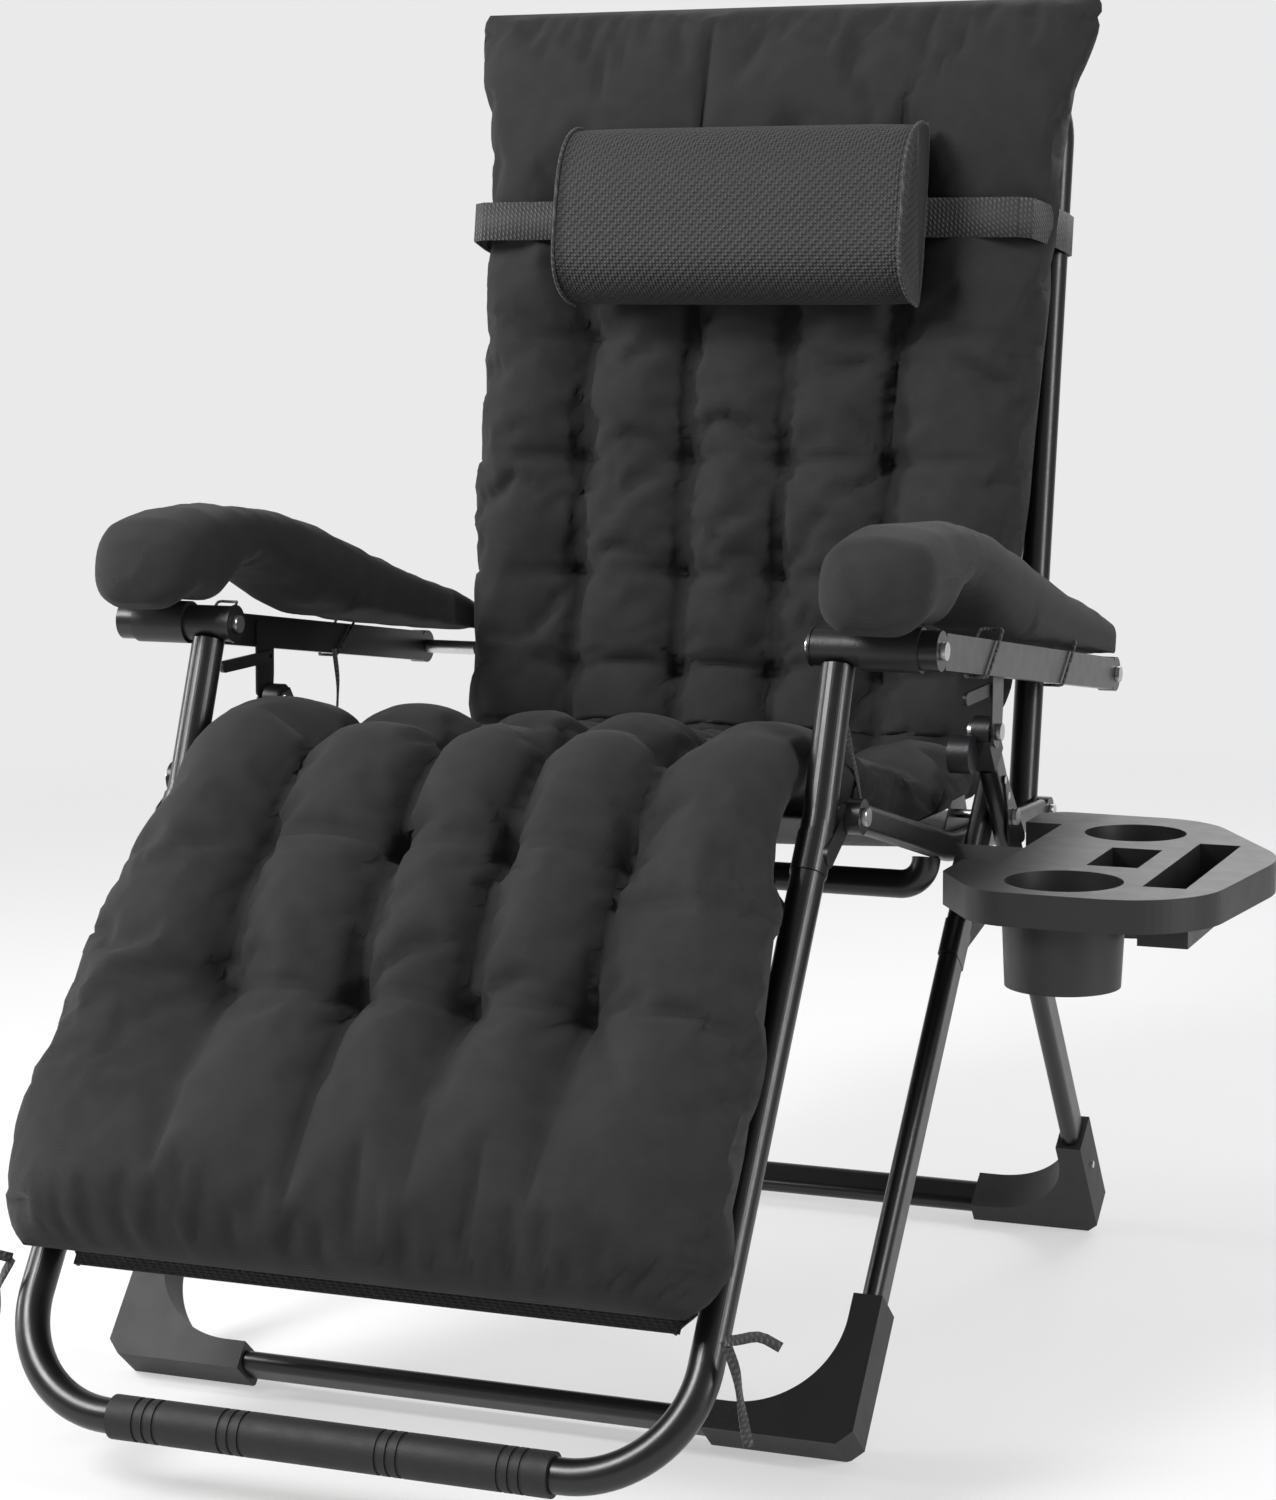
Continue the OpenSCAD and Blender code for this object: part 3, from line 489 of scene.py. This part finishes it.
def inflate(obj, hold, cap, pressure, frames=20):
    """Runs a short cloth simulation with inner pressure, then keeps its result, capped."""
    start = np.array([v.co for v in obj.data.vertices])
    group = obj.vertex_groups.new(name="pin")
    for level in np.unique(np.round(hold, 1)):
        if level > 0:
            group.add([int(i) for i in np.flatnonzero(np.round(hold, 1) == level)], float(level), "REPLACE")
    cloth = obj.modifiers.new("cloth", "CLOTH")
    settings = cloth.settings
    settings.quality = 5
    settings.mass = 0.3
    settings.use_pressure = True
    settings.uniform_pressure_force = pressure
    settings.vertex_group_mass = "pin"
    settings.effector_weights.gravity = 0
    settings.shrink_min = -0.06
    settings.tension_stiffness = 20
    settings.compression_stiffness = 12
    settings.bending_stiffness = 0.3
    cloth.collision_settings.use_collision = False
    cloth.point_cache.frame_start = 1
    cloth.point_cache.frame_end = frames
    scene = bpy.context.scene
    for f in range(1, frames + 1):
        scene.frame_set(f)
    shown = obj.evaluated_get(bpy.context.evaluated_depsgraph_get())
    moved = np.array([v.co for v in shown.data.vertices])
    obj.modifiers.remove(cloth)
    scene.frame_set(1)
    step = moved - start
    size = np.linalg.norm(step, axis=1)[:, None]
    step = np.where(np.isfinite(step), step, 0) * np.minimum(1, cap / np.maximum(size, 1e-9))
    obj.data.vertices.foreach_set("co", (start + step).ravel())
    obj.data.update()


def take_rows(whole, name, first, last, around, normals):
    """A piece of the cushion: its cross-sections from first to last."""
    co = np.array([v.co for v in whole.data.vertices])
    rings = last - first + 1
    part = slice(first * around, (last + 1) * around)
    faces = tube_faces(rings, around, closed_ends=False)
    if first == 0:
        faces.append(tuple(range(around))[::-1])
    if last == len(along) - 1:
        faces.append(tuple((rings - 1) * around + j for j in range(around)))
    obj = mesh_object(name, co[part], faces, CLOTH, LOUNGER_UV[part])
    obj.data.normals_split_custom_set_from_vertices(normals[part].tolist())
    return obj


around = TOP_N + LOW_N
lounger_co, LOUNGER_UV, lounger_hold = lounger_points()
whole = mesh_object("lounger_whole", lounger_co, tube_faces(len(along), around), CLOTH, LOUNGER_UV)
inflate(whole, lounger_hold, cap=0.02, pressure=3.5)
whole.data.update()
lounger_normals = np.array([v.normal for v in whole.data.vertices])


def index(s):
    return int(np.argmin(np.abs(along - s)))


KNEE_LOW = index(station(on_foot(-0.045, 0.012)))
KNEE_TOP = index(S_SEAT - 0.012)
REAR_LOW = index(S_REAR - 0.05)
REAR_TOP = index(station(on_back(0.13, 0.015)))


def add_lounger():
    sections = [("cushion_legs_cloth", 0, KNEE_LOW, ("footrest",), "cushion_legs"),
                ("cushion_knee_cloth", KNEE_LOW, KNEE_TOP, ("footrest", "seat"), "cushion_knee"),
                ("cushion_seat_cloth", KNEE_TOP, REAR_LOW, ("seat",), "cushion_seat"),
                ("cushion_lumbar_cloth", REAR_LOW, REAR_TOP, ("seat", "backrest"), "cushion_lumbar"),
                ("cushion_back_cloth", REAR_TOP, len(along) - 1, ("backrest",), "cushion_back")]
    for name, first, last, bodies, node in sections:
        piece = take_rows(whole, name, first, last, around, lounger_normals)
        if len(bodies) == 1:
            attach(piece, bodies[0])
        else:
            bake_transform(piece)
        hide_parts(node)
    mesh = whole.data
    bpy.data.objects.remove(whole)
    bpy.data.meshes.remove(mesh)


add_lounger()

# ---------- armrest pads ----------

ARM_UP = np.array([-SEAT_UNIT[1], SEAT_UNIT[0]])
PAD_TOP = [(-0.078, 0.038), (-0.072, 0.064), (-0.046, 0.086), (0.0, 0.1), (0.06, 0.107), (0.14, 0.108),
           (0.22, 0.101), (0.32, 0.085), (0.43, 0.071), (0.54, 0.061), (0.60, 0.052), (0.628, 0.034)]
PAD_LOW = [(-0.078, 0.03), (-0.072, 0.012), (-0.05, 0.008), (-0.024, 0.0195), (0.022, 0.0195),
           (0.05, 0.044), (0.08, 0.056), (0.11, 0.054), (0.16, 0.042), (0.21, 0.026), (0.26, 0.0175),
           (0.4, 0.0172), (0.56, 0.0172), (0.60, 0.019), (0.628, 0.03)]


def arm_pad(side, name, node):
    low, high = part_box(node)
    inner, outer = (low[0] - MID, high[0] - MID) if side > 0 else (MID - high[0], MID - low[0])
    a_all = np.concatenate([np.linspace(-0.078, -0.05, 10, endpoint=False),
                            np.linspace(-0.05, 0.6, 92, endpoint=False), np.linspace(0.6, 0.628, 9)])
    count = 44
    points, uv = [], []
    for a in a_all:
        top = np.interp(a, *zip(*PAD_TOP))
        bottom = np.interp(a, *zip(*PAD_LOW))
        tip = min(a + 0.078, 0.628 - a)
        tuck = math.sqrt(max(0.02, 1 - (1 - min(tip / 0.04, 1)) ** 2))
        x0 = inner + np.interp(a, (0.3, 0.5, 0.628), (0, 0.016, 0.024))
        x1 = outer - np.interp(a, (0.3, 0.628), (0, 0.008))
        centre, half = (x0 + x1) / 2, (x1 - x0) / 2 * tuck
        for j in range(count):
            t = 2 * math.pi * j / count
            c, s = math.cos(t), math.sin(t)
            x = centre + half * math.copysign(abs(c) ** 0.62, c)
            flap = 0.010 * abs(c) ** 4 * (a > 0.27)
            h = (top + bottom) / 2 + (top - bottom) / 2 * math.copysign(abs(s) ** 0.78, s) - flap * (s < 0)
            groove = 0.0024 * math.exp(-((a - 0.075 - 0.03 * c) / 0.0035) ** 2)
            puff = 0.0022 * noise.noise(Vector((a * 26, c * 2.2, s * 2.2)))
            wrinkle = 0.0012 * math.sin(a * 240 + 3 * s) * math.exp(-abs(a - 0.075) / 0.025)
            h += (puff + wrinkle - groove) * s
            place = ARM_FRONT + a * SEAT_UNIT + h * ARM_UP
            points.append((MID + side * x, place[0], place[1]))
            uv.append((a, t * 0.04))
    faces = tube_faces(len(a_all), count)
    if side < 0:
        faces = [f[::-1] for f in faces]
    pad = mesh_object(name, points, faces, CLOTH, uv)
    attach(pad, "armrests")
    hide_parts(node)
    return pad


arm_pad(1, "arm_pad_left_cloth", "armrest_pad_left")
arm_pad(-1, "arm_pad_right_cloth", "armrest_pad_right")

# ---------- head pillow and its strap ----------

PILLOW_H = 0.172
PILLOW_T = 0.074
PAD_FRONT = 0.1006    # height of the strap's front face above the backrest plane


def pillow_outline(count):
    """The pillow's D-shaped end, as (up, out) points."""
    out = []
    for j in range(count):
        t = 2 * math.pi * j / count
        c, s = math.cos(t), math.sin(t)
        up = PILLOW_H / 2 * math.copysign(abs(c) ** 0.6, c)
        if s < 0:
            depth = 0.009 * s * abs(s) ** 0.2 + 0.009
        else:
            depth = 0.009 + (PILLOW_T - 0.009) * abs(s) ** 0.85 * (1 - 0.12 * c)
        out.append((up, min(depth, PILLOW_T)))
    return out


def add_pillow():
    low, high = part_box("head_pillow")
    x0, x1 = low[0], high[0]
    count = 72
    outline = pillow_outline(count)
    lengths = np.concatenate([[0], np.cumsum([math.dist(a, b) for a, b in zip(outline, outline[1:])])])
    spots = np.concatenate([[0, 0.0015, 0.003, 0.006, 0.012], np.linspace(0.02, x1 - x0 - 0.02, 40),
                            x1 - x0 - np.array([0.012, 0.006, 0.003, 0.0015, 0])])
    points, uv = [], []
    for a in spots:
        end = min(a, x1 - x0 - a)
        lip = 1 + 0.022 * math.exp(-((end - 0.0016) / 0.0016) ** 2) - 0.02 * math.exp(-end / 0.02)
        for (up, depth), run in zip(outline, lengths):
            puff = 1 + 0.018 * noise.noise(Vector((a * 14, up * 14, 2)))
            p = on_back(STRAP_AT + up * lip, PAD_FRONT + 0.001 + (depth - 0.03) * lip * puff + 0.03)
            points.append((x0 + a, p[0], p[1]))
            uv.append((a, run))
    pillow = mesh_object("head_pillow_cloth", points, tube_faces(len(spots), count), PILLOW, uv)
    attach(pillow, "pillow")
    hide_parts("head_pillow")
    for x in (x0 + 0.0016, x1 - 0.0016):
        ring = []
        for up, depth in outline + outline[:1]:
            p = on_back(STRAP_AT + up * 1.01, PAD_FRONT + 0.001 + depth * 1.01)
            ring.append((x, p[0], p[1]))
        welt = round_cord(f"pillow_welt_{'a' if x < MID else 'b'}", ring, 0.0017, BAND)
        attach(welt, "pillow")


add_pillow()


def add_strap():
    """The webbing loop: across the cushion's front, round its sides and behind the tubes."""
    half = TUBE_X + TUBE_R + 0.0012
    front, rear, edge = PAD_FRONT - 0.002, -TUBE_R - 0.0014, 0.278
    right = [(edge, front), (edge + 0.012, front - 0.008), (half - 0.003, 0.04), (half, 0.012),
             (half, rear + 0.006), (half - 0.006, rear)]
    route = right + [(-x, n) for x, n in right[::-1]] + right[:1]
    dense = []
    for (xa, na), (xb, nb) in zip(route, route[1:]):
        for t in np.linspace(0, 1, 14, endpoint=False):
            dense.append((xa + (xb - xa) * t, na + (nb - na) * t))
    dense.append(route[-1])
    centre = []
    for x, n in dense:
        p = on_back(STRAP_AT, n + (0.0015 * math.cos(x * 12) if n > 0.08 else 0))
        centre.append((MID + x, p[0], p[1]))
    up = np.array([0, BACK_UP[0], BACK_UP[1]])
    band = strip("webbing_band", centre, up, 0.038, 0.0016, BAND)
    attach(band, "backrest")
    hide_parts("webbing_strap")


add_strap()

# ---------- slings and their lacing ----------

SLING_HALF = TUBE_X - TUBE_R - 0.012
SEAT_SLING_HALF = 0.3005
SLING_SAG = 0.008
SLING_THICK = 0.0014
LACE_EDGE = TUBE_X - TUBE_R - 0.016
LACE_PITCH = 0.055
LACE_STEPS = 12
LACE_R = 0.0022


def sling_sheet(name, body, node, line, half, sag):
    """A mesh sheet along a side-view line, sagging a little between its sides."""
    curve, s = smooth_curve(line, 0.02)
    run = tangents(curve)
    out = np.stack([-run[:, 1], run[:, 0]], 1)
    across = np.linspace(-1, 1, 41)
    points, uv = [], []
    for p, o, a in zip(curve, out, s):
        for f in across:
            drop = -sag * (1 - f * f) * math.sin(math.pi * min(1, max(0, a / s[-1])))
            q = p + o * drop
            points.append((MID + f * half, q[0], q[1]))
            uv.append((f * half, a))
    n = len(across)
    faces = [(i * n + j, i * n + j + 1, (i + 1) * n + j + 1, (i + 1) * n + j)
             for i in range(len(curve) - 1) for j in range(n - 1)]
    cloth = mesh_object(name, points, faces, SLING, uv)
    skin = cloth.modifiers.new("skin", "SOLIDIFY")
    skin.thickness = SLING_THICK
    skin.offset = 0
    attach(cloth, body)
    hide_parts(node)


def lacing(name, body, line, edge, rail, radius):
    """Elastic cord laced from the sling's edge round the tube, as one zigzag on each side."""
    curve, s = smooth_curve(line, 0.005)
    for side in (-1, 1):
        route = []
        turns = int(s[-1] / LACE_PITCH)
        for k in range(turns * LACE_STEPS + 1):
            a = s[-1] * k / (turns * LACE_STEPS)
            p = np.array([np.interp(a, s, curve[:, 0]), np.interp(a, s, curve[:, 1])])
            t = 2 * math.pi * k / LACE_STEPS
            x = edge + (rail - radius + 0.003 - edge) * (0.5 - 0.5 * math.cos(t))
            depth = -0.004 * math.sin(t)
            run = tangents(curve)[np.argmin(np.abs(s - a))]
            q = p + depth * np.array([-run[1], run[0]])
            route.append((MID + side * x, q[0], q[1]))
        cord = round_cord(f"{name}_{'right' if side < 0 else 'left'}", route, LACE_R, BAND, 6)
        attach(cord, body)


back_line = [on_back(v, 0) for v in (0.151, 0.3, 0.45, 0.649)]
foot_line = [on_foot(v, 0) for v in (-0.43, -0.3, -0.15, -0.052)]
seat_line = [SEAT_FRONT + np.array(d) for d in ((0.05, -0.0122), (0.16, -0.041), (0.265, -0.0682),
                                                (0.4, -0.0767), (0.545, -0.0842))]
sling_sheet("back_sling_cloth", "backrest", "back_sling", back_line, SLING_HALF, SLING_SAG)
sling_sheet("foot_sling_cloth", "footrest", "footrest_sling", foot_line, SLING_HALF, SLING_SAG)
sling_sheet("seat_sling_cloth", "seat", "seat_sling", seat_line, SEAT_SLING_HALF, SLING_SAG)
lacing("back_lacing", "backrest", back_line, LACE_EDGE, TUBE_X, TUBE_R)
lacing("foot_lacing", "footrest", foot_line, LACE_EDGE, TUBE_X, TUBE_R)

# ---------- ties and hanging straps ----------

TIE_W = 0.008
HANGING_W = 0.006
TAPE_THICK = 0.0009
ELASTIC_R = 0.0014


def ribbon(name, body, points, width=TIE_W, slack_side=(0, 0.35, 1)):
    """A flat tape through the points, which are measured from the chair's middle."""
    curve, s = smooth_curve([(MID + x, y, z) for x, y, z in points], 0.006)
    side = np.array(slack_side, float)
    run = tangents(curve)
    wide = side[None, :] - run * (run @ side)[:, None]
    wide /= np.linalg.norm(wide, axis=1)[:, None]
    tie = strip(name, curve, wide, width, TAPE_THICK, BAND)
    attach(tie, body)


def add_ties():
    """Tape ties at the cushion's lower corners, knotted round the footrest tubes."""
    for side, tag in ((1, "left"), (-1, "right")):
        x = side * (TUBE_X + TUBE_R + 0.004)
        spot = on_foot(HEM + 0.006, 0.022)
        knot = (x, spot[0] - 0.004, spot[1] - 0.008)
        ribbon(f"tie_tail_{tag}", "footrest", [
            knot, (x + side * 0.010, knot[1] - 0.004, knot[2] - 0.022),
            (x + side * 0.014, knot[1] - 0.002, knot[2] - 0.052),
            (x + side * 0.020, knot[1] - 0.004, knot[2] - 0.078)])
        ribbon(f"tie_end_{tag}", "footrest", [
            knot, (x + side * 0.012, knot[1] - 0.006, knot[2] + 0.004),
            (x + side * 0.03, knot[1] - 0.008, knot[2] + 0.009),
            (x + side * 0.046, knot[1] - 0.006, knot[2] + 0.002)])


add_ties()


def squared(v):
    """A sine or cosine cut off at the top, which gives a loop flat sides."""
    return max(-1, min(1, 1.35 * v))


def add_hanging_straps():
    """A loose tape at each front joint and the elastic loops that hold the pads on their rails."""
    x, (y, z) = TUBE_X - 0.012, ARM_FRONT
    ribbon("hanging_strap_left", "armrests", [
        (x, y + 0.03, z - 0.018), (x - 0.004, y + 0.052, z - 0.05),
        (x + 0.002, y + 0.06, z - 0.095), (x + 0.004, y + 0.075, z - 0.13),
        (x - 0.002, y + 0.105, z - 0.165)], HANGING_W)
    ribbon("hanging_strap_right", "armrests", [
        (-x, y + 0.21, z - 0.045), (-x + 0.002, y + 0.212, z - 0.075),
        (-x, y + 0.214, z - 0.1)], HANGING_W)
    for side, tag in ((1, "left"), (-1, "right")):
        low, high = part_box(f"armrest_rail_{tag}")
        near, far = (low[0] - MID, high[0] - MID)
        for k, a in enumerate((0.15, 0.4)):
            loop = []
            for t in np.linspace(0, 2 * math.pi, 33):
                across = (near + far) / 2 + ((far - near) / 2 + 0.0022) * squared(math.cos(t))
                lean = 0.028 * math.sin(t)
                h = 0.004 + 0.021 * squared(math.sin(t))
                p = ARM_FRONT + (a + lean) * SEAT_UNIT + h * ARM_UP
                loop.append((MID + across, p[0], p[1]))
            elastic = round_cord(f"pad_elastic_{tag}_{k}", loop, ELASTIC_R, BAND, 6)
            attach(elastic, "armrests")


add_hanging_straps()
finish_cad()

# ---------- floor and light ----------

FLOOR_R = 4.5
FLOOR_Z = -0.0005
ROOM, BACKDROP = 0.3, 0.823
BACKDROP_TOWARD = (-0.356, 0.923, -0.147)
# Name, place, aim, size and watts of each lamp
LAMPS = (("key", (-1.6, -2.3, 2.7), (0, 0, 0.5), (1.0, 1.4), 120),
         ("side", (2.9, -0.6, 1.6), (0, 0, 0.6), (0.4, 2.4), 60),
         ("left", (-2.9, -0.4, 1.5), (0, 0, 0.6), (0.4, 2.4), 60),
         ("rear", (0.4, 2.8, 2.3), (0, 0, 0.7), (1.6, 1.2), 40))


def add_floor():
    bpy.ops.mesh.primitive_circle_add(vertices=96, radius=FLOOR_R, fill_type="NGON",
                                      location=(0, 0, FLOOR_Z))
    floor = bpy.context.object
    floor.name = "floor"
    m = Nodes("floor", (0.4, 0.4, 0.4), 0.95, Specular_IOR_Level=0.1, Emission_Color=(1, 1, 1, 1),
              Emission_Strength=0.46)
    m.color(m.noise(3), (0.39, 0.39, 0.39), (0.41, 0.41, 0.41))
    ball = m.new("ShaderNodeTexGradient", gradient_type="SPHERICAL")
    grow = m.new("ShaderNodeMapping")
    grow.inputs["Scale"].default_value = (0.26, 0.26, 0.26)
    m.link(m.where.outputs["Object"], grow.inputs["Vector"])
    m.link(grow.outputs["Vector"], ball.inputs["Vector"])
    fade = m.new("ShaderNodeMapRange")
    fade.inputs["From Max"].default_value = 0.6
    m.link(ball.outputs["Fac"], fade.inputs["Value"])
    m.link(fade.outputs["Result"], m.shader.inputs["Alpha"])
    floor.data.materials.append(m.material)


def add_light(name, spot, aim, size, power):
    data = bpy.data.lights.new(name, "AREA")
    data.shape = "RECTANGLE"
    data.size, data.size_y = size
    data.energy = power
    light = bpy.data.objects.new(name, data)
    light.location = spot
    light.rotation_euler = (Vector(aim) - Vector(spot)).to_track_quat("-Z", "Y").to_euler()
    bpy.context.scene.collection.objects.link(light)


def add_world():
    """A lit backdrop behind the chair and a dimmer room around it."""
    world = bpy.data.worlds.new("studio")
    world.use_nodes = True
    tree = world.node_tree
    where = tree.nodes.new("ShaderNodeTexCoord")
    toward = tree.nodes.new("ShaderNodeVectorMath")
    toward.operation = "DOT_PRODUCT"
    toward.inputs[1].default_value = BACKDROP_TOWARD
    span = tree.nodes.new("ShaderNodeMapRange")
    span.interpolation_type = "SMOOTHSTEP"
    for key, value in (("From Min", 0.45), ("From Max", 0.9), ("To Min", ROOM), ("To Max", BACKDROP)):
        span.inputs[key].default_value = value
    tree.links.new(where.outputs["Generated"], toward.inputs[0])
    tree.links.new(toward.outputs["Value"], span.inputs["Value"])
    tree.links.new(span.outputs["Result"], tree.nodes["Background"].inputs["Color"])
    bpy.context.scene.world = world
    bpy.context.scene.view_settings.view_transform = "Standard"


add_floor()
add_world()
for lamp in LAMPS:
    add_light(*lamp)
